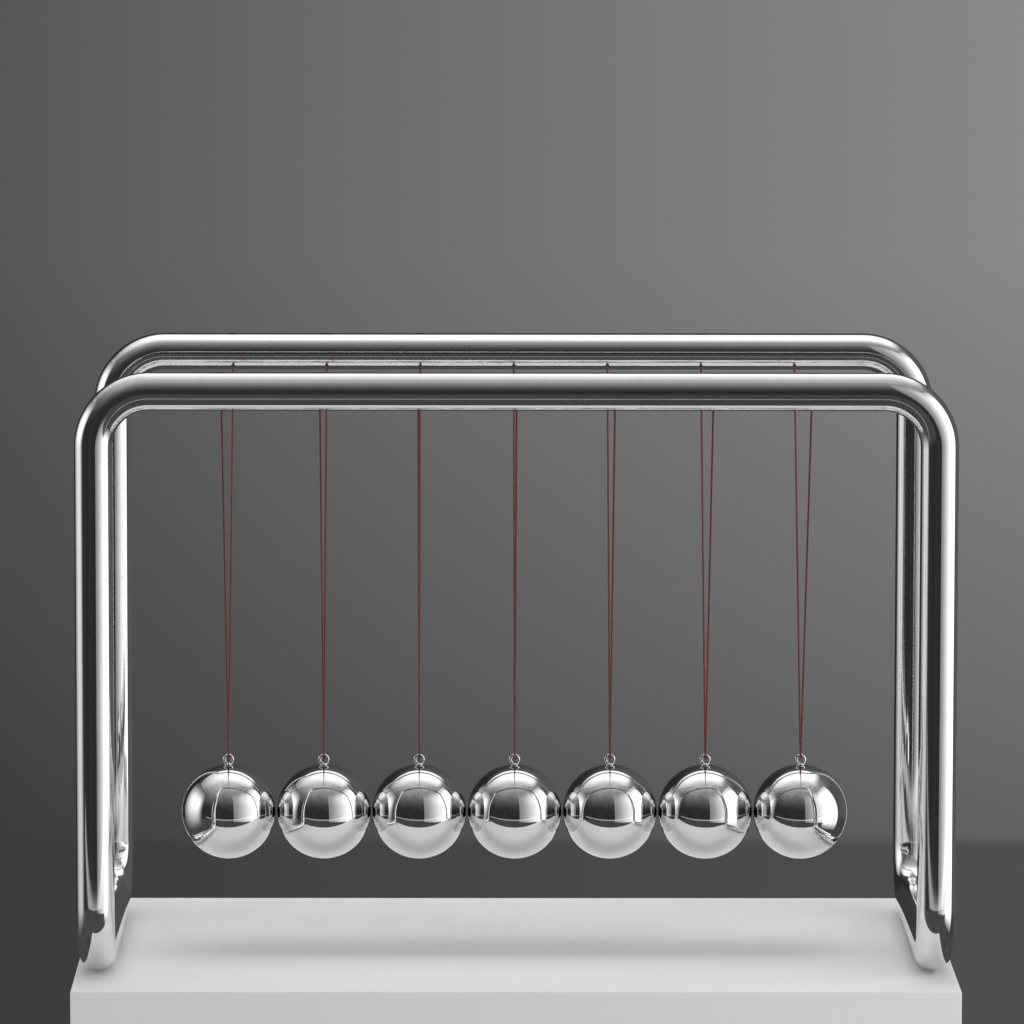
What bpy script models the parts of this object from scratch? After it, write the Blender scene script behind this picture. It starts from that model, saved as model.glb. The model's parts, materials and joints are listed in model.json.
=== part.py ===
"""Newton's cradle with seven steel balls in a bent chrome tube frame.

Metres, +Z up. The origin is on the ground, midway between the four legs.
+X runs along the row of balls and +Y from the front hoop to the rear hoop.
"""

import math

import bmesh
import bpy
from mathutils import Matrix, Vector

MM = 0.001

# Frame: two equal hoops of round tube, one in front of the balls and one behind.
TUBE_RADIUS = 10.0 * MM
TUBE_WALL = 1.5 * MM
BEND_RADIUS = 29.0 * MM  # to the tube's centre line
LEG_SPACING = 441.0 * MM  # between the centre lines of the left and right legs
HOOP_SPACING = 216.0 * MM  # between the centre lines of the front and rear hoops
RUNNER_HEIGHT = 11.0 * MM  # centre line of the tube that lies along the ground
TOP_HEIGHT = 311.0 * MM  # centre line of the tube that carries the threads
SEAM = 0.3 * MM  # between the ends of the two hoops
BEND_STEPS = 6
TUBE_SIDES = 16

# Spigots join the hoops inside the runners, and pads carry the runners.
SPIGOT_LENGTH = 60.0 * MM
SPIGOT_CLEARANCE = 0.3 * MM
PAD_RADIUS = 5.0 * MM
PAD_SIDES = 24
PAD_HEIGHT = 1.6 * MM
PAD_GAP = 0.3 * MM  # the layer of adhesive between pad and tube
PAD_FROM_HOOP = 45.0 * MM  # from a hoop's centre line along the runner

# Pendulums.
BALL_COUNT = 7
BALL_RADIUS = 25.4 * MM
BALL_PITCH = 51.3 * MM
BALL_HEIGHT = 72.6 * MM
BALL_SEGMENTS = 20
BALL_RINGS = 10
BALL_HOLE_RADIUS = 1.6 * MM
BALL_HOLE_DEPTH = 9.0 * MM
BALL_HOLE_SIDES = 10

# Eye: a ring on a collar and a shank that goes down into the ball.
RING_RADIUS = 2.2 * MM  # to the middle of the wire
RING_WIRE_RADIUS = 0.9 * MM
RING_SEGMENTS = 14
RING_WIRE_SIDES = 6
RING_ABOVE_BALL_CENTRE = 28.4 * MM
COLLAR_RADIUS = 2.3 * MM
COLLAR_HEIGHT = 0.6 * MM
COLLAR_GAP = 0.2 * MM  # above the top of the ball
SHANK_RADIUS = 1.2 * MM
SHANK_LENGTH = 8.0 * MM
SHANK_SIDES = 12

# Thread: it hangs from both top tubes and passes under the ring's upper side.
THREAD_RADIUS = 0.6 * MM
THREAD_SIDES = 8
THREAD_GAP = 0.25 * MM  # between the thread and the ring's wire
PIVOT_CLEARANCE = 0.9 * MM  # from the tube's surface to the thread's end
EXIT_ANGLE = math.radians(45.0)  # from straight down towards the balls
EXIT_HOLE_RADIUS = 1.0 * MM
EXIT_HOLE_SIDES = 8
ACCESS_HOLE_RADIUS = 2.75 * MM  # in the top of the tube, to reach the knot
ACCESS_HOLE_SIDES = 12
KNOT_RADIUS = 2.0 * MM
KNOT_SEGMENTS = 8
KNOT_RINGS = 6
KNOT_GAP = 0.3 * MM
WRAP_STEPS = 4
CUT_OVERRUN = 3.0 * MM
WELD_DISTANCE = 0.001 * MM

TUBE_BORE_RADIUS = TUBE_RADIUS - TUBE_WALL
BALL_X = [(i - (BALL_COUNT - 1) / 2) * BALL_PITCH for i in range(BALL_COUNT)]
EXIT_DIRECTION = Vector((0, math.sin(EXIT_ANGLE), -math.cos(EXIT_ANGLE)))
FRONT_TOP = Vector((0, -HOOP_SPACING / 2, TOP_HEIGHT))
PIVOT = FRONT_TOP + EXIT_DIRECTION * (TUBE_RADIUS + PIVOT_CLEARANCE)


def clear_scene():
    for obj in list(bpy.data.objects):
        bpy.data.objects.remove(obj, do_unlink=True)


def new_collection(name):
    collection = bpy.data.collections.new(name)
    bpy.context.scene.collection.children.link(collection)
    return collection


def new_material(name, colour, roughness, metallic):
    material = bpy.data.materials.new(name)
    material.use_nodes = True
    shader = material.node_tree.nodes["Principled BSDF"]
    shader.inputs["Base Color"].default_value = (*colour, 1)
    shader.inputs["Roughness"].default_value = roughness
    shader.inputs["Metallic"].default_value = metallic
    return material


def new_object(name, data, collection, material=None):
    obj = bpy.data.objects.new(name, data)
    collection.objects.link(obj)
    if material and not data.materials:
        data.materials.append(material)
    return obj


def new_cutter(name, mesh):
    cutter = new_object(name, mesh, cutters)
    cutter.hide_render = True
    cutter.display_type = "WIRE"
    return cutter


def boolean(obj, operation, other):
    modifier = obj.modifiers.new(other.name, "BOOLEAN")
    modifier.operation = operation
    modifier.object = other
    modifier.solver = "EXACT"


def mesh_from(obj, name):
    """The object's evaluated mesh, with a curve's loose caps welded on."""
    bpy.context.view_layer.update()
    graph = bpy.context.evaluated_depsgraph_get()
    mesh = bpy.data.meshes.new_from_object(obj.evaluated_get(graph))
    mesh.name = name
    shape = bmesh.new()
    shape.from_mesh(mesh)
    bmesh.ops.remove_doubles(shape, verts=shape.verts, dist=WELD_DISTANCE)
    shape.to_mesh(mesh)
    shape.free()
    mesh.shade_smooth()
    mesh.set_sharp_from_angle(angle=math.radians(40))
    return mesh


def rod_mesh(name, rods, radius, sides):
    """Solid round bars, each from one point to another."""
    shape = bmesh.new()
    for start, end in rods:
        along = end - start
        turn = along.to_track_quat("Z", "Y").to_matrix().to_4x4()
        bmesh.ops.create_cone(
            shape,
            cap_ends=True,
            segments=sides,
            radius1=radius,
            radius2=radius,
            depth=along.length,
            matrix=Matrix.Translation((start + end) / 2) @ turn,
        )
    mesh = bpy.data.meshes.new(name)
    shape.to_mesh(mesh)
    shape.free()
    return mesh


def rounded_path(corners, radius, steps):
    """Points along straight runs joined by arcs of one radius."""
    points = [corners[0]]
    for before, corner, after in zip(corners, corners[1:], corners[2:]):
        arrive = (corner - before).normalized()
        leave = (after - corner).normalized()
        half_turn = arrive.angle(leave) / 2
        centre = corner + (leave - arrive).normalized() * radius / math.cos(half_turn)
        axis = arrive.cross(leave)
        first = corner - arrive * radius * math.tan(half_turn) - centre
        for step in range(steps + 1):
            turned = Matrix.Rotation(2 * half_turn * step / steps, 3, axis) @ first
            points.append(centre + turned)
    points.append(corners[-1])
    return points


def wire_curve(name, points, radius, sides, capped):
    """A round wire or tube surface along straight steps between points."""
    curve = bpy.data.curves.new(name, "CURVE")
    curve.dimensions = "3D"
    curve.bevel_depth = radius
    curve.bevel_resolution = (sides - 4) // 2
    curve.use_fill_caps = capped
    spline = curve.splines.new("POLY")
    spline.points.add(len(points) - 1)
    for place, point in zip(spline.points, points):
        place.co = (*point, 1)
    return curve


def make_hoops():
    """Front and rear hoop: one bent tube each, equal and turned half a turn."""
    side, front = LEG_SPACING / 2, -HOOP_SPACING / 2
    corners = [
        Vector((-side, -SEAM / 2, RUNNER_HEIGHT)),
        Vector((-side, front, RUNNER_HEIGHT)),
        Vector((-side, front, TOP_HEIGHT)),
        Vector((side, front, TOP_HEIGHT)),
        Vector((side, front, RUNNER_HEIGHT)),
        Vector((side, -SEAM / 2, RUNNER_HEIGHT)),
    ]
    path = rounded_path(corners, BEND_RADIUS, BEND_STEPS)
    curve = wire_curve("hoop_path", path, TUBE_RADIUS, TUBE_SIDES, capped=False)
    guide = new_object("hoop_guide", curve, cutters)
    tube = mesh_from(guide, "hoop")
    bpy.data.objects.remove(guide)
    tops = [FRONT_TOP + Vector((x, 0, 0)) for x in BALL_X]
    # Each cutter starts halfway out from the tube's middle, so that it cuts one wall only.
    up = Vector((0, 0, TUBE_RADIUS + CUT_OVERRUN))
    out = EXIT_DIRECTION * (TUBE_RADIUS + CUT_OVERRUN)
    upward = [(top + up / 2, top + up) for top in tops]
    outward = [(top + out / 2, top + out) for top in tops]
    access = rod_mesh("access_holes", upward, ACCESS_HOLE_RADIUS, ACCESS_HOLE_SIDES)
    exits = rod_mesh("exit_holes", outward, EXIT_HOLE_RADIUS, EXIT_HOLE_SIDES)
    cuts = [new_cutter("access_hole_cutter", access), new_cutter("exit_hole_cutter", exits)]
    front_hoop = new_object("front_hoop", tube, parts, chrome)
    wall = front_hoop.modifiers.new("wall", "SOLIDIFY")
    wall.thickness = TUBE_WALL
    wall.offset = -1
    for cut in cuts:
        boolean(front_hoop, "DIFFERENCE", cut)
    hoop = mesh_from(front_hoop, "drilled_hoop")
    front_hoop.modifiers.clear()
    front_hoop.data = hoop
    rear_hoop = new_object("rear_hoop", hoop, parts, chrome)
    rear_hoop.rotation_euler.z = math.pi


def make_spigots():
    """Sleeves inside the runners that hold the two hoops together."""
    radius = TUBE_BORE_RADIUS - SPIGOT_CLEARANCE
    for name, side in (("spigot_left", -1), ("spigot_right", 1)):
        shape = bmesh.new()
        bmesh.ops.create_cone(
            shape,
            cap_ends=False,
            segments=TUBE_SIDES,
            radius1=radius,
            radius2=radius,
            depth=SPIGOT_LENGTH,
        )
        mesh = bpy.data.meshes.new(name)
        shape.to_mesh(mesh)
        shape.free()
        spigot = new_object(name, mesh, parts, plain_steel)
        spigot.location = (side * LEG_SPACING / 2, 0, RUNNER_HEIGHT)
        spigot.rotation_euler.x = math.pi / 2
        wall = spigot.modifiers.new("wall", "SOLIDIFY")
        wall.thickness = TUBE_WALL
        wall.offset = -1


def make_pads():
    """Four rubber pads, flat below and hollowed above to fit the runners."""
    side, reach = LEG_SPACING / 2, HOOP_SPACING / 2 - PAD_FROM_HOOP
    half_runner = Vector((0, HOOP_SPACING / 2, 0))
    middles = [Vector((x, 0, RUNNER_HEIGHT)) for x in (-side, side)]
    runners = [(middle - half_runner, middle + half_runner) for middle in middles]
    saddle = rod_mesh("saddles", runners, TUBE_RADIUS + PAD_GAP, 4 * TUBE_SIDES)
    saddle_cutter = new_cutter("saddle_cutter", saddle)
    disc = rod_mesh("pad", [(Vector(), Vector((0, 0, PAD_HEIGHT)))], PAD_RADIUS, PAD_SIDES)
    for end, y in (("front", -reach), ("rear", reach)):
        for hand, x in (("left", -side), ("right", side)):
            pad = new_object(f"pad_{end}_{hand}", disc, parts, rubber)
            pad.location = (x, y, 0)
            boolean(pad, "DIFFERENCE", saddle_cutter)


def ball_mesh():
    """A steel ball with a blind hole in its top, centred on its origin."""
    shape = bmesh.new()
    bmesh.ops.create_uvsphere(
        shape, u_segments=BALL_SEGMENTS, v_segments=BALL_RINGS, radius=BALL_RADIUS
    )
    sphere = bpy.data.meshes.new("sphere")
    shape.to_mesh(sphere)
    shape.free()
    top = Vector((0, 0, BALL_RADIUS + CUT_OVERRUN))
    foot = Vector((0, 0, BALL_RADIUS - BALL_HOLE_DEPTH))
    hole = rod_mesh("ball_hole", [(foot, top)], BALL_HOLE_RADIUS, BALL_HOLE_SIDES)
    cutter = new_cutter("ball_hole_cutter", hole)
    blank = new_cutter("ball_blank", sphere)
    boolean(blank, "DIFFERENCE", cutter)
    mesh = mesh_from(blank, "ball")
    bpy.data.objects.remove(blank)
    return mesh


def eye_mesh():
    """Ring, collar and shank in one piece. Its origin is the ball's centre."""
    low = BALL_RADIUS + COLLAR_GAP
    profile = [
        (0, low + COLLAR_HEIGHT),
        (COLLAR_RADIUS, low + COLLAR_HEIGHT),
        (COLLAR_RADIUS, low),
        (SHANK_RADIUS, low),
        (SHANK_RADIUS, low - SHANK_LENGTH),
        (0, low - SHANK_LENGTH),
    ]
    outline = bpy.data.meshes.new("stem_profile")
    edges = [(i, i + 1) for i in range(len(profile) - 1)]
    outline.from_pydata([(r, 0, z) for r, z in profile], edges, [])
    stem = new_cutter("eye_stem", outline)
    screw = stem.modifiers.new("turn", "SCREW")
    screw.steps = screw.render_steps = SHANK_SIDES
    screw.use_merge_vertices = True
    screw.merge_threshold = WELD_DISTANCE
    bpy.ops.mesh.primitive_torus_add(
        major_radius=RING_RADIUS,
        minor_radius=RING_WIRE_RADIUS,
        major_segments=RING_SEGMENTS,
        minor_segments=RING_WIRE_SIDES,
        location=(0, 0, RING_ABOVE_BALL_CENTRE),
        rotation=(math.pi / 2, 0, 0),
    )
    ring = bpy.context.object
    ring.name = "eye_ring"
    ring.hide_render = True
    ring.display_type = "WIRE"
    for owner in list(ring.users_collection):
        owner.objects.unlink(ring)
    cutters.objects.link(ring)
    boolean(stem, "UNION", ring)
    mesh = mesh_from(stem, "eye")
    bpy.data.objects.remove(stem)
    return mesh


def thread_path():
    """The thread's path from pivot to pivot, centred midway between the pivots.

    It runs straight to the ring, round under the ring's wire, and straight up.
    """
    wire_height = BALL_HEIGHT + RING_ABOVE_BALL_CENTRE + RING_RADIUS - PIVOT.z
    wire = Vector((0, 0, wire_height))
    wrap = RING_WIRE_RADIUS + THREAD_GAP + THREAD_RADIUS
    front_end = Vector((0, PIVOT.y, 0))
    rear_end = Vector((0, -PIVOT.y, 0))
    to_end = front_end - wire
    # The straight run meets the wrap where it stands square to the wrap's radius.
    touch = math.atan2(to_end.z, to_end.y) + math.acos(wrap / to_end.length)
    below = 1.5 * math.pi
    points = [front_end]
    for step in range(2 * WRAP_STEPS + 1):
        angle = touch + (below - touch) * step / WRAP_STEPS
        points.append(wire + Vector((0, math.cos(angle), math.sin(angle))) * wrap)
    points.append(rear_end)
    return points


def make_pendulums():
    """Ball, eye and thread of each pendulum, hung from an empty on its axis."""
    ball = ball_mesh()
    eye = eye_mesh()
    thread = wire_curve("thread", thread_path(), THREAD_RADIUS, THREAD_SIDES, capped=True)
    for number, x in enumerate(BALL_X, start=1):
        axis = new_object(f"axis_{number}", None, parts)
        axis.location = (x, 0, PIVOT.z)
        pieces = [
            new_object(f"ball_{number}", ball, parts, steel),
            new_object(f"eye_{number}", eye, parts, chrome),
            new_object(f"thread_{number}", thread, parts, nylon),
        ]
        for piece in pieces:
            piece.parent = axis
        for piece in pieces[:2]:
            piece.location.z = BALL_HEIGHT - PIVOT.z


def knot_mesh():
    """A knot inside the tube, with the thread's end that fills the exit hole."""
    centre = EXIT_DIRECTION * (TUBE_BORE_RADIUS - KNOT_GAP - KNOT_RADIUS)
    shape = bmesh.new()
    bmesh.ops.create_uvsphere(
        shape,
        u_segments=KNOT_SEGMENTS,
        v_segments=KNOT_RINGS,
        radius=KNOT_RADIUS,
        matrix=Matrix.Translation(centre) @ Matrix.Rotation(EXIT_ANGLE, 4, "X"),
    )
    lump = bpy.data.meshes.new("knot_lump")
    shape.to_mesh(lump)
    shape.free()
    surface = EXIT_DIRECTION * TUBE_RADIUS
    end = rod_mesh("knot_end", [(centre, surface)], THREAD_RADIUS, THREAD_SIDES)
    blank = new_cutter("knot_blank", lump)
    boolean(blank, "UNION", new_cutter("knot_end", end))
    mesh = mesh_from(blank, "knot")
    bpy.data.objects.remove(blank)
    return mesh


def make_knots():
    """One knot in each top tube for each thread."""
    knot = knot_mesh()
    for number, x in enumerate(BALL_X, start=1):
        front = new_object(f"front_knot_{number}", knot, parts, nylon)
        front.location = FRONT_TOP + Vector((x, 0, 0))
        rear = new_object(f"rear_knot_{number}", knot, parts, nylon)
        rear.location = FRONT_TOP + Vector((x, HOOP_SPACING, 0))
        rear.rotation_euler.z = math.pi


clear_scene()
parts = new_collection("newtons_cradle")
cutters = new_collection("cutters")
chrome = new_material("chrome_plate", (0.80, 0.80, 0.81), 0.06, 1.0)
steel = new_material("polished_steel", (0.78, 0.78, 0.79), 0.04, 1.0)
plain_steel = new_material("plain_steel", (0.50, 0.50, 0.50), 0.35, 1.0)
nylon = new_material("red_nylon", (0.42, 0.05, 0.04), 0.55, 0.0)
rubber = new_material("dark_rubber", (0.03, 0.03, 0.03), 0.8, 0.0)
make_hoops()
make_spigots()
make_pads()
make_pendulums()
make_knots()
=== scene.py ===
"""Looks of a Newton's cradle: seven mirror balls on red cords in a bent chrome tube frame.

Metres, +Z up. +X runs along the row of balls, and the camera looks along +Y.
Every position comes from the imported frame. The values below are the fine sizes
that the frame doesn't hold, and the settings of the studio.
"""

import json
import math

import bmesh
import bpy
import numpy as np
from mathutils import Euler, Matrix, Vector


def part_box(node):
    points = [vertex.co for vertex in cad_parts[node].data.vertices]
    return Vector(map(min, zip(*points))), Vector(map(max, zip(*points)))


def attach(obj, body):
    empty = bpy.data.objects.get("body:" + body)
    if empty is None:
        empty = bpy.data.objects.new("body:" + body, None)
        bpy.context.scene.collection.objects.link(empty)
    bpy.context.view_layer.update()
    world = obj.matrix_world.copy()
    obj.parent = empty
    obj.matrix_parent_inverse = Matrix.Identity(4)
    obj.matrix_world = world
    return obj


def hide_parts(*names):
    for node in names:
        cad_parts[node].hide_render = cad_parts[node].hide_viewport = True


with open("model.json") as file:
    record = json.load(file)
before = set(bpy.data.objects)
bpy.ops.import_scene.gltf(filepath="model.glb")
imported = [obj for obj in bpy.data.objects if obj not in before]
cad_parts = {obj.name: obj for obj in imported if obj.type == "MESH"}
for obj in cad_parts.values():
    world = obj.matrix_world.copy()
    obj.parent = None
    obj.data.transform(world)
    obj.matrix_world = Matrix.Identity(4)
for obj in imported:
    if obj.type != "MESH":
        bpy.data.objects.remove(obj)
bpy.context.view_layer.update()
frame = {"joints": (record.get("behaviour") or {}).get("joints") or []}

MM = 0.001

# Tube frame.
TUBE_WALL = 1.5 * MM
BEND_RADIUS = 29.0 * MM
SEAM = 0.3 * MM
TUBE_SIDES = 96
BEND_STEPS = 30
ACCESS_HOLE_RADIUS = 2.75 * MM
EXIT_HOLE_RADIUS = 1.0 * MM
EXIT_ANGLE = math.radians(45)  # of the cords' holes, from straight down
HOLE_SIDES = 48
SLEEVE_SIDES = 64

# Pads.
PAD_SIDES = 64
PAD_RIM = 0.35 * MM
PAD_GAP = 0.3 * MM  # between a pad's hollow and its runner
SADDLE_REACH = 20.0 * MM  # of the hollow's cutter, past both sides of the pad
SADDLE_SIDES = 256

# Balls and eyes.
BALL_SEGMENTS = 144
BALL_HOLE_RADIUS = 1.6 * MM
BALL_HOLE_DEPTH = 9.0 * MM
BALL_HOLE_CHAMFER = 0.35 * MM
RING_WIRE_RADIUS = 0.9 * MM
COLLAR_HEIGHT = 0.6 * MM
SHANK_RADIUS = 1.2 * MM
SHANK_TAPER = 0.4 * MM  # length of its tip
STEM_SIDES = 48
RING_STEPS = 96
RING_WIRE_SIDES = 32

# Cords: three strands laid together.
CORD_RADIUS = 0.6 * MM
CORD_GAP = 0.25 * MM  # between cord and ring where the cord turns
CORD_LAY = 2.2 * MM  # length of one full twist
CORD_STRANDS = 3
CORD_STEPS = 9  # per twist
STRAND_SIDES = 7
WRAP_STEPS = 40  # where it turns round the ring's wire

# Knots.
KNOT_WIRE_RADIUS = 0.45 * MM
KNOT_SIZE = 0.42 * MM
KNOT_REACH = 4.1 * MM  # from the tube's inner wall to the knot's far side
KNOT_MIDDLE = 2.0 * MM  # from the far side to the knot's middle
KNOT_OPENING = 0.55  # radians left out at each end of the knot's loop
KNOT_POINTS = 26
CORD_STUB = 0.5 * MM  # outside the tube
WELD_DISTANCE = 0.001 * MM

# Edges that bend by more than this, in degrees, stay sharp.
ROUND_EDGE = 35
WIRE_EDGE = 50
CORD_EDGE = 60
JOINED_EDGE = 40
FLOOR_EDGE = 20

hoop_low, hoop_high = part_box("front_hoop")
sleeve_low, sleeve_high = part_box("spigot_right")
SIDE = (sleeve_low.x + sleeve_high.x) / 2
RUNNER = (sleeve_low.z + sleeve_high.z) / 2
TUBE_RADIUS = hoop_high.x - SIDE
FRONT = hoop_low.y + TUBE_RADIUS
TOP = hoop_high.z - TUBE_RADIUS
PIVOTS = {joint["child"]: Vector(joint["pos_m"]) for joint in frame["joints"]}


# Mesh building.


def smooth_below(mesh, edge_angle):
    mesh.shade_smooth()
    mesh.set_sharp_from_angle(angle=math.radians(edge_angle))


def mesh_of(name, points, faces, edge_angle=None):
    """A mesh of points and faces, which stays flat shaded if edge_angle isn't given."""
    mesh = bpy.data.meshes.new(name)
    mesh.from_pydata([tuple(p) for p in points], [], [tuple(map(int, f)) for f in faces])
    if edge_angle is not None:
        smooth_below(mesh, edge_angle)
    return mesh


def link(name, mesh, *materials):
    obj = bpy.data.objects.new(name, mesh)
    bpy.context.scene.collection.objects.link(obj)
    if not mesh.materials:
        for material in materials:
            mesh.materials.append(material)
    return obj


def applied(obj):
    """The object's mesh with its modifiers applied. The object is removed."""
    bpy.context.view_layer.update()
    graph = bpy.context.evaluated_depsgraph_get()
    mesh = bpy.data.meshes.new_from_object(obj.evaluated_get(graph))
    bpy.data.objects.remove(obj)
    return mesh


def cut_or_join(mesh, operation, other):
    """The mesh after one exact Boolean with another mesh."""
    body = link("boolean_body", mesh)
    tool = link("boolean_tool", other)
    modifier = body.modifiers.new("boolean", "BOOLEAN")
    modifier.operation = operation
    modifier.object = tool
    modifier.solver = "EXACT"
    result = applied(body)
    bpy.data.objects.remove(tool)
    return result


def grid_faces(rows, columns, first=0, flip=False):
    """Quads between closed rings of points, row by row."""
    row, column = np.meshgrid(np.arange(rows - 1), np.arange(columns), indexing="ij")
    beside = (column + 1) % columns
    corners = [
        row * columns + column,
        row * columns + beside,
        (row + 1) * columns + beside,
        (row + 1) * columns + column,
    ]
    quads = np.stack(corners, axis=-1).reshape(-1, 4) + first
    return quads[:, ::-1] if flip else quads


def lathe(name, profile, segments, closed=False):
    """A profile of (radius, height) turned about Z.

    An open profile starts and ends on the axis and runs from the bottom up the outside.
    A closed profile makes a ring.
    """
    turn = np.arange(segments) * 2 * math.pi / segments
    rings = [(r, z) for r, z in profile if closed or r > 0]
    points = [
        (r * math.cos(a), r * math.sin(a), z) for r, z in rings for a in turn
    ]
    faces = grid_faces(len(rings), segments).tolist()
    if closed:
        last = (len(rings) - 1) * segments
        for i in range(segments):
            j = (i + 1) % segments
            faces.append((last + i, last + j, j, i))
    else:
        low, high = len(points), len(points) + 1
        last = (len(rings) - 1) * segments
        points += [(0, 0, profile[0][1]), (0, 0, profile[-1][1])]
        for i in range(segments):
            j = (i + 1) % segments
            faces.append((low, j, i))
            faces.append((high, last + i, last + j))
    return mesh_of(name, points, faces, ROUND_EDGE)


def arc(centre, radius, start, end, steps):
    """Profile points on an arc, with angles in degrees."""
    angles = [math.radians(start + (end - start) * i / steps) for i in range(steps + 1)]
    return [(centre[0] + radius * math.cos(a), centre[1] + radius * math.sin(a)) for a in angles]


def rounded_path(corners, radius, steps):
    """Points and directions along straight runs joined by arcs of one radius."""
    directions = [(b - a).normalized() for a, b in zip(corners, corners[1:])]
    path = [(corners[0], directions[0])]
    for corner, arrive, leave in zip(corners[1:], directions, directions[1:]):
        half_turn = arrive.angle(leave) / 2
        centre = corner + (leave - arrive).normalized() * radius / math.cos(half_turn)
        first = corner - arrive * radius * math.tan(half_turn) - centre
        axis = arrive.cross(leave)
        for step in range(steps + 1):
            turn = Matrix.Rotation(2 * half_turn * step / steps, 3, axis)
            path.append((centre + turn @ first, turn @ arrive))
    path.append((corners[-1], directions[-1]))
    return path


def square_frames(path, start):
    """Two directions square to the path at each point, carried along it without twist."""
    frames = []
    across = start
    for _, along in path:
        across = (across - along * across.dot(along)).normalized()
        frames.append((across, along.cross(across)))
    return frames


def tube_shell(name, path, start, radius, bore, sides):
    """A tube wall along a path. Its UV map runs in metres along and round the tube,
    and each outer corner keeps its direction away from the tube's centre line."""
    frames = square_frames(path, start)
    turn = np.arange(sides) * 2 * math.pi / sides
    away = np.array([[a * math.cos(t) + b * math.sin(t) for t in turn] for a, b in frames])
    centres = np.array([p for p, _ in path])[:, None, :]
    count = len(path)
    outer = (centres + away * radius).reshape(-1, 3)
    inner = (centres + away * bore).reshape(-1, 3)
    faces = [grid_faces(count, sides), grid_faces(count, sides, first=len(outer), flip=True)]
    near = np.arange(sides)
    beside = (near + 1) % sides
    far = near + (count - 1) * sides
    far_beside = beside + (count - 1) * sides
    faces.append(np.stack([near, near + len(outer), beside + len(outer), beside], axis=-1))
    faces.append(np.stack([far, far_beside, far_beside + len(outer), far + len(outer)], axis=-1))
    mesh = mesh_of(name, np.concatenate([outer, inner]), np.concatenate(faces))
    steps = np.linalg.norm(np.diff(centres[:, 0], axis=0), axis=1)
    station = np.concatenate([[0], np.cumsum(steps)])
    corner = np.zeros(len(mesh.loops), np.int32)
    mesh.loops.foreach_get("vertex_index", corner)
    ring, side = (corner % len(outer)) // sides, corner % sides
    side = side.reshape(-1, 4)
    side = np.where((side == 0) & (side.max(axis=1, keepdims=True) == sides - 1), sides, side)
    around = side.reshape(-1) * 2 * math.pi * radius / sides
    uv = np.stack([station[ring], around], axis=-1)
    mesh.uv_layers.new(name="tube").data.foreach_set("uv", uv.astype(np.float32).ravel())
    outward = away.reshape(-1, 3)[corner % len(outer)]
    outward[len(grid_faces(count, sides)) * 4:] = 0
    attribute = mesh.attributes.new("outward", "FLOAT_VECTOR", "CORNER")
    attribute.data.foreach_set("vector", outward.astype(np.float32).ravel())
    return mesh


def exact_shading(mesh):
    """Shades the outer corners by the directions that tube_shell kept."""
    smooth_below(mesh, ROUND_EDGE)
    outward = np.zeros(len(mesh.loops) * 3, np.float32)
    mesh.attributes["outward"].data.foreach_get("vector", outward)
    outward = outward.reshape(-1, 3)
    length = np.linalg.norm(outward, axis=1, keepdims=True)
    normals = np.where(length > 0.5, outward / np.maximum(length, 1e-6), 0)
    mesh.normals_split_custom_set([tuple(map(float, n)) for n in normals])
    mesh.attributes.remove(mesh.attributes["outward"])


def closed_wire(name, path, start, radius, sides):
    """A solid round wire along (point, direction) pairs, whose end meets its start."""
    frames = square_frames(path, start)
    turn = np.arange(sides) * 2 * math.pi / sides
    points = [
        p + (a * math.cos(t) + b * math.sin(t)) * radius
        for (p, _), (a, b) in zip(path, frames)
        for t in turn
    ]
    faces = grid_faces(len(path), sides).tolist()
    last = (len(path) - 1) * sides
    faces += [(last + i, last + (i + 1) % sides, (i + 1) % sides, i) for i in range(sides)]
    return mesh_of(name, points, faces, WIRE_EDGE)


# Materials.


class Tree:
    """Shortens the making of shader nodes."""

    def __init__(self, holder):
        holder.use_nodes = True
        self.tree = holder.node_tree
        self.tree.nodes.clear()

    def node(self, kind, settings=None, **inputs):
        node = self.tree.nodes.new("ShaderNode" + kind)
        for name, value in (settings or {}).items():
            setattr(node, name, value)
        for name, value in inputs.items():
            self.feed(node.inputs[name.replace("_", " ")], value)
        return node

    def feed(self, socket, value):
        if isinstance(value, bpy.types.NodeSocket):
            self.tree.links.new(value, socket)
        else:
            socket.default_value = value

    def math(self, operation, a, b=0.0):
        node = self.node("Math", {"operation": operation})
        self.feed(node.inputs[0], a)
        self.feed(node.inputs[1], b)
        return node.outputs[0]

    def blend(self, a, b, share):
        """a where share is 0 and b where it is 1, for numbers."""
        node = self.node("Mix", {"data_type": "FLOAT"})
        for socket, value in zip(node.inputs[:4], (share, None, a, b)):
            if value is not None:
                self.feed(socket, value)
        return node.outputs[0]

    def colour_blend(self, a, b, share):
        node = self.node("Mix", {"data_type": "RGBA"})
        self.feed(node.inputs[0], share)
        self.feed(node.inputs[6], a)
        self.feed(node.inputs[7], b)
        return node.outputs[2]

    def noise(self, vector, scale, detail=3.0, roughness=0.5, distortion=0.0):
        return self.node(
            "TexNoise",
            Vector=vector,
            Scale=scale,
            Detail=detail,
            Roughness=roughness,
            Distortion=distortion,
        ).outputs["Fac"]

    def stretched(self, vector, *scale):
        return self.node("Mapping", Vector=vector, Scale=scale).outputs[0]

    def range(self, value, low, high, to_low=0.0, to_high=1.0, smooth=False):
        node = self.node("MapRange", {"interpolation_type": "SMOOTHSTEP" if smooth else "LINEAR"})
        for socket, number in zip(node.inputs[:5], (value, low, high, to_low, to_high)):
            self.feed(socket, number)
        return node.outputs[0]

    def bump(self, height, distance, normal=None):
        node = self.node("Bump", Height=height, Strength=1.0, Distance=distance)
        if normal is not None:
            self.feed(node.inputs["Normal"], normal)
        return node.outputs[0]


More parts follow.
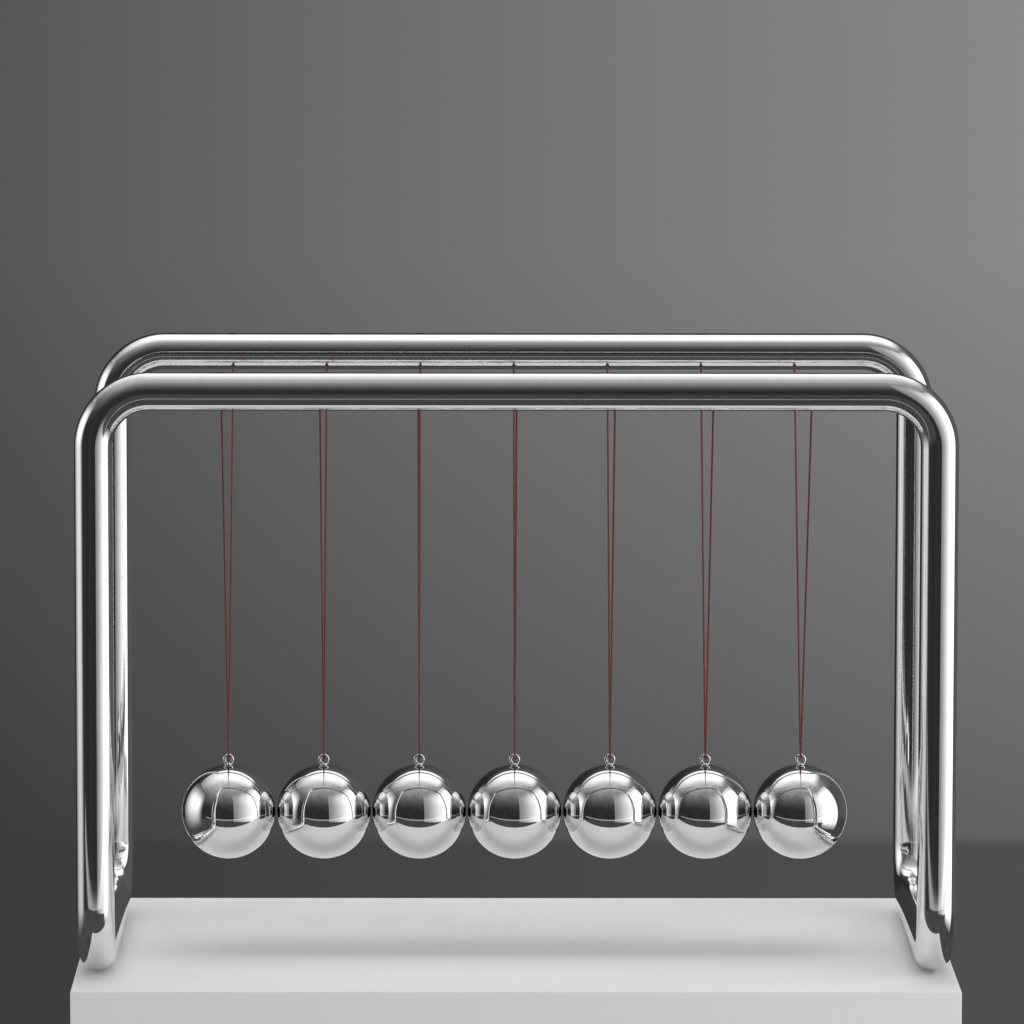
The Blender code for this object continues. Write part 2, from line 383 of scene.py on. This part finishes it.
def polished_metal(name, colour, roughness, scratch_vector, waviness):
    """Mirror metal with fine scratches, faint wipe marks, and specks of dust.

    scratch_vector takes the tree and gives coordinates in metres whose X follows the polish.
    """
    material = bpy.data.materials.new(name)
    tree = Tree(material)
    place = tree.node("TexCoord").outputs["Object"]
    along = scratch_vector(tree, place)
    scratches = tree.noise(tree.stretched(along, 40, 9000, 9000), 1.0, 2.0)
    marks = tree.noise(place, 90.0, 4.0, 0.6, 1.2)
    dust = tree.range(tree.noise(place, 1600.0, 2.0), 0.74, 0.80)
    wiped = [c * 0.93 for c in colour]
    base = tree.colour_blend((*colour, 1), (*wiped, 1), tree.range(marks, 0.35, 0.75))
    base = tree.colour_blend(base, (0.35, 0.34, 0.33, 1), tree.math("MULTIPLY", dust, 0.35))
    dull = tree.range(marks, 0.3, 0.8, roughness, roughness * 1.9)
    dull = tree.math("ADD", dull, tree.range(scratches, 0.45, 0.8, 0.0, roughness * 0.8))
    dull = tree.math("ADD", dull, tree.math("MULTIPLY", dust, 0.25))
    wave = tree.noise(tree.stretched(along, 18, 60, 60), 1.0, 1.0)
    normal = tree.bump(wave, waviness)
    normal = tree.bump(scratches, 0.0000004, normal)
    shader = tree.node(
        "BsdfPrincipled",
        Base_Color=base,
        Metallic=1.0,
        Roughness=dull,
        Normal=normal,
    )
    tree.node("OutputMaterial", Surface=shader.outputs[0])
    return material


def along_tube(tree, place):
    return tree.node("UVMap", {"uv_map": "tube"}).outputs[0]


def round_ball(tree, place):
    """Height first, so that scratches run level round the ball."""
    split = tree.node("SeparateXYZ", Vector=place)
    angle = tree.math("ARCTAN2", split.outputs[1], split.outputs[0])
    return tree.node(
        "CombineXYZ",
        X=tree.math("MULTIPLY", angle, 0.02),
        Y=split.outputs[2],
        Z=split.outputs[0],
    ).outputs[0]


def plain_place(tree, place):
    return place


def nylon_cord():
    """Dyed nylon: fine filaments run along each strand, lighter where they are rubbed."""
    material = bpy.data.materials.new("red_nylon")
    tree = Tree(material)
    place = tree.node("TexCoord").outputs["Object"]
    along = tree.node("UVMap", {"uv_map": "strand"}).outputs[0]
    filaments = tree.noise(tree.stretched(along, 300, 16000, 1), 1.0, 2.0)
    shade = tree.noise(place, 900.0, 2.0)
    rubbed = tree.range(filaments, 0.3, 0.7)
    base = tree.colour_blend((0.125, 0.014, 0.010, 1), (0.20, 0.029, 0.021, 1), rubbed)
    soiled = tree.range(shade, 0.5, 0.8, 0.0, 0.6)
    base = tree.colour_blend(base, (0.070, 0.008, 0.006, 1), soiled)
    shader = tree.node(
        "BsdfPrincipled",
        Base_Color=base,
        Roughness=tree.range(filaments, 0.2, 0.8, 0.38, 0.6),
        Normal=tree.bump(filaments, 0.00002),
        Sheen_Weight=0.6,
        Sheen_Roughness=0.4,
        Sheen_Tint=(1.0, 0.66, 0.60, 1),
        Subsurface_Weight=0.15,
        Subsurface_Radius=(0.0006, 0.0002, 0.0002),
    )
    tree.node("OutputMaterial", Surface=shader.outputs[0])
    return material


def moulded_rubber():
    """Dark rubber with a fine grain and a paler bloom in patches."""
    material = bpy.data.materials.new("dark_rubber")
    tree = Tree(material)
    place = tree.node("TexCoord").outputs["Object"]
    grain = tree.noise(place, 4200.0, 3.0)
    bloom = tree.noise(place, 350.0, 3.0)
    pale = tree.range(bloom, 0.4, 0.8)
    base = tree.colour_blend((0.018, 0.018, 0.018, 1), (0.06, 0.058, 0.055, 1), pale)
    shader = tree.node(
        "BsdfPrincipled",
        Base_Color=base,
        Roughness=tree.range(bloom, 0.3, 0.8, 0.62, 0.85),
        Normal=tree.bump(grain, 0.00004),
    )
    tree.node("OutputMaterial", Surface=shader.outputs[0])
    return material


def brushed_steel():
    """Bare steel with fine lines that run round the sleeve."""
    material = bpy.data.materials.new("plain_steel")
    tree = Tree(material)
    place = tree.node("TexCoord").outputs["Object"]
    lines = tree.noise(tree.stretched(place, 300, 300, 9000), 1.0, 2.0)
    shader = tree.node(
        "BsdfPrincipled",
        Base_Color=(0.50, 0.50, 0.51, 1),
        Metallic=1.0,
        Roughness=tree.range(lines, 0.2, 0.8, 0.25, 0.42),
        Normal=tree.bump(lines, 0.000003),
    )
    tree.node("OutputMaterial", Surface=shader.outputs[0])
    return material


# The cradle.


def hoop_path():
    corners = [
        Vector((-SIDE, -SEAM / 2, RUNNER)),
        Vector((-SIDE, FRONT, RUNNER)),
        Vector((-SIDE, FRONT, TOP)),
        Vector((SIDE, FRONT, TOP)),
        Vector((SIDE, FRONT, RUNNER)),
        Vector((SIDE, -SEAM / 2, RUNNER)),
    ]
    return rounded_path(corners, BEND_RADIUS, BEND_STEPS)


def drills():
    """Cutters for the holes in the top tube: one over and one under each cord's end."""
    away = Vector((0, math.sin(EXIT_ANGLE), -math.cos(EXIT_ANGLE)))
    shape = bmesh.new()
    for pivot in PIVOTS.values():
        centre = Vector((pivot.x, FRONT, TOP))
        for direction, radius in ((Vector((0, 0, 1)), ACCESS_HOLE_RADIUS), (away, EXIT_HOLE_RADIUS)):
            turn = direction.to_track_quat("Z", "Y").to_matrix().to_4x4()
            bmesh.ops.create_cone(
                shape,
                cap_ends=True,
                segments=HOLE_SIDES,
                radius1=radius,
                radius2=radius,
                depth=TUBE_RADIUS,
                matrix=Matrix.Translation(centre + direction * TUBE_RADIUS) @ turn,
            )
    mesh = bpy.data.meshes.new("drills")
    shape.to_mesh(mesh)
    shape.free()
    return mesh


def make_hoops():
    shell = tube_shell(
        "hoop",
        hoop_path(),
        Vector((1, 0, 0)),
        TUBE_RADIUS,
        TUBE_RADIUS - TUBE_WALL,
        TUBE_SIDES,
    )
    mesh = cut_or_join(shell, "DIFFERENCE", drills())
    exact_shading(mesh)
    for name, turn in (("front_hoop", 0), ("rear_hoop", math.pi)):
        hoop = link("chrome_" + name, mesh, chrome)
        hoop.rotation_euler.z = turn
        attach(hoop, "frame")
        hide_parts(name)


def make_sleeves():
    low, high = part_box("spigot_right")
    radius, half = (high.x - low.x) / 2, (high.y - low.y) / 2
    bore = radius - TUBE_WALL
    bevel = TUBE_WALL / 3
    profile = [
        (bore, -half + bevel), (bore + bevel, -half), (radius - bevel, -half), (radius, -half + bevel),
        (radius, half - bevel), (radius - bevel, half), (bore + bevel, half), (bore, half - bevel),
    ]
    mesh = lathe("sleeve", profile, SLEEVE_SIDES, closed=True)
    for name in ("spigot_left", "spigot_right"):
        low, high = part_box(name)
        sleeve = link("sleeve_" + name, mesh, steel)
        sleeve.location = (low + high) / 2
        sleeve.rotation_euler.x = math.pi / 2
        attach(sleeve, "frame")
        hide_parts(name)


def make_pads():
    """Rubber feet with rounded rims, hollowed to sit under the runners."""
    low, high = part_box("pad_front_right")
    radius, height = (high.x - low.x) / 2, high.z - low.z
    rim = PAD_RIM
    profile = [(0, 0)] + arc((radius - rim, rim), rim, -90, 0, 6)
    profile += arc((radius - rim, height - rim), rim, 0, 90, 6) + [(0, height)]
    disc = lathe("pad", profile, PAD_SIDES)
    hollow, end = TUBE_RADIUS + PAD_GAP, SADDLE_REACH
    saddle = lathe("saddle", [(0, -end), (hollow, -end), (hollow, end), (0, end)], SADDLE_SIDES)
    lift = Matrix.Translation((0, 0, RUNNER)) @ Matrix.Rotation(math.pi / 2, 4, "X")
    saddle.transform(lift)
    mesh = cut_or_join(disc, "DIFFERENCE", saddle)
    smooth_below(mesh, JOINED_EDGE)
    for name in ("pad_front_left", "pad_front_right", "pad_rear_left", "pad_rear_right"):
        low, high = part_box(name)
        pad = link("rubber_" + name, mesh, rubber)
        pad.location = ((low.x + high.x) / 2, (low.y + high.y) / 2, low.z)
        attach(pad, "frame")
        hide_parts(name)


def ball_mesh(radius):
    edge = BALL_HOLE_RADIUS + BALL_HOLE_CHAMFER
    top_angle = math.degrees(math.acos(edge / radius))
    top = math.sqrt(radius**2 - edge**2)
    floor = radius - BALL_HOLE_DEPTH
    profile = arc((0, 0), radius, -90, top_angle, BALL_SEGMENTS // 2)
    profile[0] = (0, -radius)
    profile += [
        (BALL_HOLE_RADIUS, top - BALL_HOLE_CHAMFER),
        (BALL_HOLE_RADIUS, floor),
        (0, floor - BALL_HOLE_RADIUS / 2),
    ]
    return lathe("ball", profile, BALL_SEGMENTS)


def eye_mesh(low, high, ball_top):
    """Ring, collar and shank about the eye's own centre line, in the heights of the frame."""
    ring_radius = (high.x - low.x) / 2 - RING_WIRE_RADIUS
    ring_centre = high.z - RING_WIRE_RADIUS - ring_radius
    collar_radius = (high.y - low.y) / 2
    collar_low = ball_top
    collar_high = collar_low + COLLAR_HEIGHT
    rim = COLLAR_HEIGHT / 2
    neck = RING_WIRE_RADIUS * 1.3
    profile = [(0, low.z), (SHANK_RADIUS * 0.7, low.z), (SHANK_RADIUS, low.z + SHANK_TAPER)]
    profile += [(SHANK_RADIUS, collar_low)]
    profile += arc((collar_radius - rim, collar_low + rim), rim, -90, 90, 10)
    fillet = (ring_centre - ring_radius) - collar_high + RING_WIRE_RADIUS * 0.4
    profile += [(neck + fillet, collar_high), (neck, collar_high + fillet), (0, collar_high + fillet)]
    stem = lathe("stem", profile, STEM_SIDES)
    path = []
    for i in range(RING_STEPS):
        t = 2 * math.pi * i / RING_STEPS
        path.append((
            Vector((ring_radius * math.cos(t), 0, ring_centre + ring_radius * math.sin(t))),
            Vector((-math.sin(t), 0, math.cos(t))),
        ))
    ring = closed_wire("ring", path, Vector((1, 0, 0)), RING_WIRE_RADIUS, RING_WIRE_SIDES)
    mesh = cut_or_join(ring, "UNION", stem)
    smooth_below(mesh, JOINED_EDGE)
    return mesh, Vector((0, 0, ring_centre)), ring_radius


def cord_route(pivot, ring_centre, ring_radius):
    """Evenly spaced points and directions from the front pivot, under the ring's upper
    side and up to the rear pivot, about the cord's own plane."""
    top_of_ring = Vector((0, 0, ring_centre.z + ring_radius))
    wrap = RING_WIRE_RADIUS + CORD_GAP + CORD_RADIUS
    start = Vector((0, FRONT + (pivot.z - TOP) * -math.tan(EXIT_ANGLE), pivot.z))
    reach = start - top_of_ring
    touch = math.atan2(reach.z, reach.y) + math.acos(wrap / reach.length)
    below = 1.5 * math.pi
    on_wrap = [
        top_of_ring + Vector((0, math.cos(a), math.sin(a))) * wrap
        for a in np.linspace(touch, 2 * below - touch, WRAP_STEPS)
    ]
    corners = [start] + on_wrap + [Vector((0, -start.y, start.z))]
    points = np.array(corners)
    lengths = np.concatenate([[0], np.cumsum(np.linalg.norm(np.diff(points, axis=0), axis=1))])
    count = int(lengths[-1] / (CORD_LAY / CORD_STEPS))
    stations = np.linspace(0, lengths[-1], count)
    places = np.stack([np.interp(stations, lengths, points[:, i]) for i in range(3)], axis=-1)
    along = np.gradient(places, axis=0)
    along /= np.linalg.norm(along, axis=1, keepdims=True)
    return stations, places, along


def cord_mesh(route):
    """Strands wound round the route. Near the ends they close up into a point."""
    stations, places, along = route
    strand_radius = CORD_RADIUS / (1 + 2 / math.sqrt(3))
    spread = CORD_RADIUS - strand_radius
    across = np.tile(np.array([1.0, 0, 0]), (len(places), 1))
    third = np.cross(along, across)
    ends = np.minimum(stations, stations[-1] - stations)
    spread = spread * np.clip(ends / (2 * CORD_RADIUS), 0.15, 1)[:, None]
    turn = np.arange(STRAND_SIDES) * 2 * math.pi / STRAND_SIDES
    points, faces = [], []
    for strand in range(CORD_STRANDS):
        angle = 2 * math.pi * (stations / CORD_LAY + strand / CORD_STRANDS)
        outward = across * np.cos(angle)[:, None] + third * np.sin(angle)[:, None]
        centre = places + outward * spread
        direction = np.gradient(centre, axis=0)
        direction /= np.linalg.norm(direction, axis=1, keepdims=True)
        beside = np.cross(direction, outward)
        beside /= np.linalg.norm(beside, axis=1, keepdims=True)
        out = np.cross(beside, direction)
        ring = (
            centre[:, None]
            + strand_radius * out[:, None] * np.cos(turn)[None, :, None]
            + strand_radius * beside[:, None] * np.sin(turn)[None, :, None]
        )
        first = sum(len(p) for p in points)
        points.append(ring.reshape(-1, 3))
        quads = grid_faces(len(places), STRAND_SIDES, first)
        last = first + (len(places) - 1) * STRAND_SIDES
        faces += quads.tolist()
        faces.append([first + i for i in range(STRAND_SIDES)][::-1])
        faces.append([last + i for i in range(STRAND_SIDES)])
    mesh = mesh_of("cord", np.concatenate(points), faces, CORD_EDGE)
    corner = np.zeros(len(mesh.loops), np.int32)
    mesh.loops.foreach_get("vertex_index", corner)
    ring, side = (corner // STRAND_SIDES) % len(places), corner % STRAND_SIDES
    around = side * 2 * math.pi * strand_radius / STRAND_SIDES
    uv = np.stack([stations[ring], around], axis=-1)
    mesh.uv_layers.new(name="strand").data.foreach_set("uv", uv.astype(np.float32).ravel())
    return mesh


def make_pendulums():
    ball = eye = cord = None
    for body, pivot in PIVOTS.items():
        number = body.rsplit("_", 1)[1]
        low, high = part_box("ball_" + number)
        radius = (high.x - low.x) / 2
        centre = Vector((pivot.x, 0, low.z + radius))
        if ball is None:
            eye_low, eye_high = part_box("eye_" + number)
            ball = ball_mesh(radius)
            eye, ring_centre, ring_radius = eye_mesh(eye_low, eye_high, centre.z + radius)
            cord = cord_mesh(cord_route(pivot, ring_centre, ring_radius))
        pieces = [
            (link("mirror_ball_" + number, ball, mirror), "ball_", "polished_steel", centre),
            (link("screw_eye_" + number, eye, eye_chrome), "eye_", "eye_plate", Vector((pivot.x, 0, 0))),
            (link("cord_" + number, cord, nylon), "thread_", "red_nylon", Vector((pivot.x, 0, 0))),
        ]
        for piece, node, finish, place in pieces:
            piece.location = place
            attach(piece, body)
            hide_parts(node + number)


def knot_mesh():
    """An overhand knot inside the tube, with the cord that comes out of its hole.

    The origin is on the tube's centre line, and the cord leaves along +Z.
    """
    inner = TUBE_RADIUS - TUBE_WALL
    middle = inner - KNOT_REACH + KNOT_MIDDLE
    controls = []
    for t in np.linspace(KNOT_OPENING, 2 * math.pi - KNOT_OPENING, KNOT_POINTS):
        controls.append(Vector((
            KNOT_SIZE * (math.sin(t) + 2 * math.sin(2 * t)),
            KNOT_SIZE * (math.cos(t) - 2 * math.cos(2 * t)),
            middle - KNOT_SIZE * 1.8 * math.sin(3 * t),
        )))
    end = TUBE_RADIUS + CORD_STUB
    controls += [Vector((0, 0, inner)), Vector((0, 0, TUBE_RADIUS)), Vector((0, 0, end))]
    curve = bpy.data.curves.new("knot", "CURVE")
    curve.dimensions = "3D"
    curve.bevel_depth = KNOT_WIRE_RADIUS
    curve.bevel_resolution = 4
    curve.use_fill_caps = True
    curve.resolution_u = 4
    spline = curve.splines.new("NURBS")
    spline.points.add(len(controls) - 1)
    for point, place in zip(spline.points, controls):
        point.co = (*place, 1)
    spline.order_u = 4
    spline.use_endpoint_u = True
    obj = bpy.data.objects.new("knot", curve)
    bpy.context.scene.collection.objects.link(obj)
    mesh = applied(obj)
    shape = bmesh.new()
    shape.from_mesh(mesh)
    bmesh.ops.remove_doubles(shape, verts=shape.verts, dist=WELD_DISTANCE)
    shape.to_mesh(mesh)
    shape.free()
    mesh.shade_smooth()
    mesh.uv_layers.new(name="strand")
    return mesh


def make_knots():
    knot = knot_mesh()
    for body, pivot in PIVOTS.items():
        number = body.rsplit("_", 1)[1]
        for end, side in (("front", 1), ("rear", -1)):
            piece = link(f"knot_{end}_{number}", knot, nylon)
            away = Vector((0, side * math.sin(EXIT_ANGLE), -math.cos(EXIT_ANGLE)))
            piece.location = (pivot.x, side * FRONT, TOP)
            piece.rotation_mode = "QUATERNION"
            piece.rotation_quaternion = away.to_track_quat("Z", "Y")
            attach(piece, "frame")
            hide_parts(f"{end}_knot_{number}")


# The studio.

PLINTH = (0.465, 0.285)
PLINTH_BACK = 4.5 * MM  # from the cradle's middle to the plinth's
PLINTH_DEPTH = 0.30
PLINTH_EDGE = 1.2 * MM
CAMERA_PLACE = Vector((-0.0288, -3.932, 0.7063))
CAMERA_DOWN = math.radians(6.835)
CAMERA_RIGHT = math.radians(0.396)
CAMERA_ROLL = math.radians(0.09)
CAMERA_LENS = 259.75
LIGHT_DISTANCE = 4.0


def pale_floor():
    """A pale matt plinth top that the cradle stands on."""
    material = bpy.data.materials.new("pale_floor")
    tree = Tree(material)
    place = tree.node("TexCoord").outputs["Object"]
    tone = tree.noise(place, 9.0, 3.0)
    base = tree.colour_blend((0.80, 0.80, 0.80, 1), (0.84, 0.84, 0.84, 1), tone)
    shader = tree.node(
        "BsdfPrincipled",
        Base_Color=base,
        Roughness=0.55,
        Normal=tree.bump(tree.noise(place, 500.0, 3.0), 0.00002),
    )
    tree.node("OutputMaterial", Surface=shader.outputs[0])
    shape = bmesh.new()
    bmesh.ops.create_cube(shape, size=1.0)
    bmesh.ops.scale(shape, vec=(*PLINTH, PLINTH_DEPTH), verts=shape.verts)
    bmesh.ops.translate(shape, vec=(0, PLINTH_BACK, -PLINTH_DEPTH / 2), verts=shape.verts)
    bmesh.ops.bevel(
        shape, geom=shape.edges[:], offset=PLINTH_EDGE, segments=3, profile=0.5, affect="EDGES"
    )
    mesh = bpy.data.meshes.new("floor")
    shape.to_mesh(mesh)
    shape.free()
    smooth_below(mesh, FLOOR_EDGE)
    link("floor", mesh, material)


def softbox(name, centre, facing, size, radiance, fades, lows=(0, 0, 0, 0), fill=1.0):
    """A glowing panel that the camera doesn't see.

    fades are the shares of its width and height over which its left, right, lower and upper
    edges soften, as seen from the cradle, and lows are the shares of light left at those edges.
    fill is how many times brighter it is for matt surfaces than in a mirror.
    """
    material = bpy.data.materials.new(name)
    tree = Tree(material)
    place = tree.node("SeparateXYZ", Vector=tree.node("TexCoord").outputs["UV"])
    across, upward = place.outputs[0], place.outputs[1]
    edges = (across, tree.math("SUBTRACT", 1.0, across), upward, tree.math("SUBTRACT", 1.0, upward))
    glow = radiance
    for edge, fade, low in zip(edges, fades, lows):
        glow = tree.math("MULTIPLY", glow, tree.range(edge, 0.0, fade, low, 1.0, smooth=True))
    front = tree.math("SUBTRACT", 1.0, tree.node("NewGeometry").outputs["Backfacing"])
    matt = tree.node("LightPath").outputs["Is Diffuse Ray"]
    glow = tree.math("MULTIPLY", glow, tree.blend(1.0, fill, matt))
    light = tree.node("Emission", Strength=tree.math("MULTIPLY", glow, front))
    clear = tree.node("BsdfTransparent")
    both = tree.node("AddShader")
    tree.feed(both.inputs[0], light.outputs[0])
    tree.feed(both.inputs[1], clear.outputs[0])
    tree.node("OutputMaterial", Surface=both.outputs[0])
    facing = facing.normalized()
    turn = facing.to_track_quat("Z", "Y").to_matrix()
    right, up = turn @ Vector((1, 0, 0)), turn @ Vector((0, 1, 0))
    half = [right * size[0] / 2, up * size[1] / 2]
    corners = [
        centre - half[0] - half[1],
        centre + half[0] - half[1],
        centre + half[0] + half[1],
        centre - half[0] + half[1],
    ]
    mesh = mesh_of(name, corners, [(0, 1, 2, 3)])
    uv = mesh.uv_layers.new(name="panel")
    for loop, corner in zip(uv.data, ((0, 0), (1, 0), (1, 1), (0, 1))):
        loop.uv = corner
    panel = link(name, mesh, material)
    panel.visible_camera = False
    panel.visible_shadow = False


def from_ball_row(azimuth, height):
    """A place in the studio, by its angle to the right of straight ahead of the cradle, and
    the way from there back to the cradle."""
    away = Vector((math.sin(math.radians(azimuth)), -math.cos(math.radians(azimuth)), 0))
    return away * LIGHT_DISTANCE + Vector((0, 0, height)), -away


def make_lights():
    """Softboxes over the cradle and at its sides, a tall reflector at the front right, and a
    thin strip in front of the plinth."""
    softbox(
        "overhead_softbox",
        Vector((-0.19, 0.205, 0.88)),
        Vector((0, 0, -1)),
        size=(1.82, 0.85),
        radiance=1.22,
        fades=(0.15, 0.55, 0.60, 0.02),
        lows=(0.0, 0.2, 0.0, 0.6),
        fill=2.35,
    )
    softbox(
        "right_softbox",
        *from_ball_row(azimuth=79, height=1.1),
        size=(3.56, 6.8),
        radiance=1.7,
        fades=(0.10, 0.15, 0.23, 0.30),
        lows=(0.1, 0.6, 0.1, 0.25),
        fill=0.9,
    )
    softbox(
        "left_softbox",
        *from_ball_row(azimuth=-99, height=0.35),
        size=(5.2, 5.3),
        radiance=1.5,
        fades=(0.32, 0.50, 0.70, 0.35),
        lows=(0.0, 0.25, 0.0, 0.1),
    )
    softbox(
        "right_reflector",
        *from_ball_row(azimuth=33.5, height=2.2),
        size=(3.15, 7.0),
        radiance=1.35,
        fades=(0.02, 1.4, 0.02, 0.5),
        lows=(1.0, 0.19, 0.0, 0.0),
    )
    softbox(
        "front_strip",
        Vector((0, -0.52, -0.04)),
        Vector((0, 1, 0.3)),
        size=(1.9, 0.035),
        radiance=0.4,
        fades=(0.05, 0.05, 0.3, 0.3),
    )


def make_world():
    """Camera rays see a plain grey backdrop. Other rays see a dark studio."""
    world = bpy.data.worlds.new("studio")
    bpy.context.scene.world = world
    tree = Tree(world)

    # The backdrop: a wall with painted light, brighter to the right and upward, over darker ground.
    window = tree.node("SeparateXYZ", Vector=tree.node("TexCoord").outputs["Window"])
    across, upward = window.outputs[0], window.outputs[1]
    wall = tree.blend(0.102, 0.270, across)
    wall = tree.math("MULTIPLY", wall, tree.range(upward, 0.15, 0.75, 0.42, 0.92))
    ground = tree.blend(0.045, 0.078, across)
    backdrop = tree.blend(ground, wall, tree.range(upward, 0.172, 0.186, smooth=True))

    # The studio: in front of the cradle it brightens upward, and behind it to the right.
    ray = tree.node("SeparateXYZ", Vector=tree.node("TexCoord").outputs["Generated"])
    side, depth, height = ray.outputs[0], ray.outputs[1], ray.outputs[2]
    blotches = tree.noise(tree.node("TexCoord").outputs["Generated"], 3.0, 4.0, 0.6, 0.8)
    climb = tree.math("POWER", tree.math("MAXIMUM", height, 0.0), 3.0)
    front = tree.math("ADD", 0.03, tree.math("MULTIPLY", climb, 0.6))
    front = tree.math("MULTIPLY", front, tree.range(blotches, 0.35, 0.65, 0.8, 1.2))
    rear = tree.range(side, -0.5, 0.6, 0.025, 0.11, smooth=True)
    rear = tree.math("ADD", rear, tree.range(height, 0.5, 1.0, 0.0, 0.10))
    upper = tree.blend(front, rear, tree.range(depth, 0.0, 0.5, smooth=True))
    below = tree.range(blotches, 0.3, 0.7, 0.05, 0.09)
    studio = tree.blend(below, upper, tree.range(height, -0.24, -0.18, smooth=True))

    # Matt surfaces also get an even fill from the front.
    path = tree.node("LightPath")
    fill = tree.range(depth, 0.2, -0.2, 0.0, 0.40, smooth=True)
    studio = tree.math("ADD", studio, tree.math("MULTIPLY", fill, path.outputs["Is Diffuse Ray"]))
    seen = path.outputs["Is Camera Ray"]
    light = tree.node("Background", Color=(1, 1, 1, 1), Strength=tree.blend(studio, backdrop, seen))
    tree.node("OutputWorld", Surface=light.outputs[0])


def make_camera():
    camera = bpy.data.cameras.new("camera")
    camera.lens = CAMERA_LENS
    camera.sensor_width = 36
    camera.clip_end = 60
    obj = bpy.data.objects.new("camera", camera)
    bpy.context.scene.collection.objects.link(obj)
    obj.location = CAMERA_PLACE
    aim = Euler((math.pi / 2 - CAMERA_DOWN, 0, -CAMERA_RIGHT)).to_matrix()
    obj.rotation_euler = (aim @ Matrix.Rotation(CAMERA_ROLL, 3, "Z")).to_euler()
    bpy.context.scene.camera = obj
    bpy.context.scene.view_settings.view_transform = "Standard"


chrome = polished_metal("chrome_plate", (0.82, 0.82, 0.83), 0.045, along_tube, 0.000015)
mirror = polished_metal("polished_steel", (0.80, 0.80, 0.81), 0.025, round_ball, 0.000002)
eye_chrome = polished_metal("eye_plate", (0.78, 0.78, 0.79), 0.07, plain_place, 0.000005)
nylon = nylon_cord()
rubber = moulded_rubber()
steel = brushed_steel()
make_hoops()
make_sleeves()
make_pads()
make_pendulums()
make_knots()
pale_floor()
make_lights()
make_world()
make_camera()
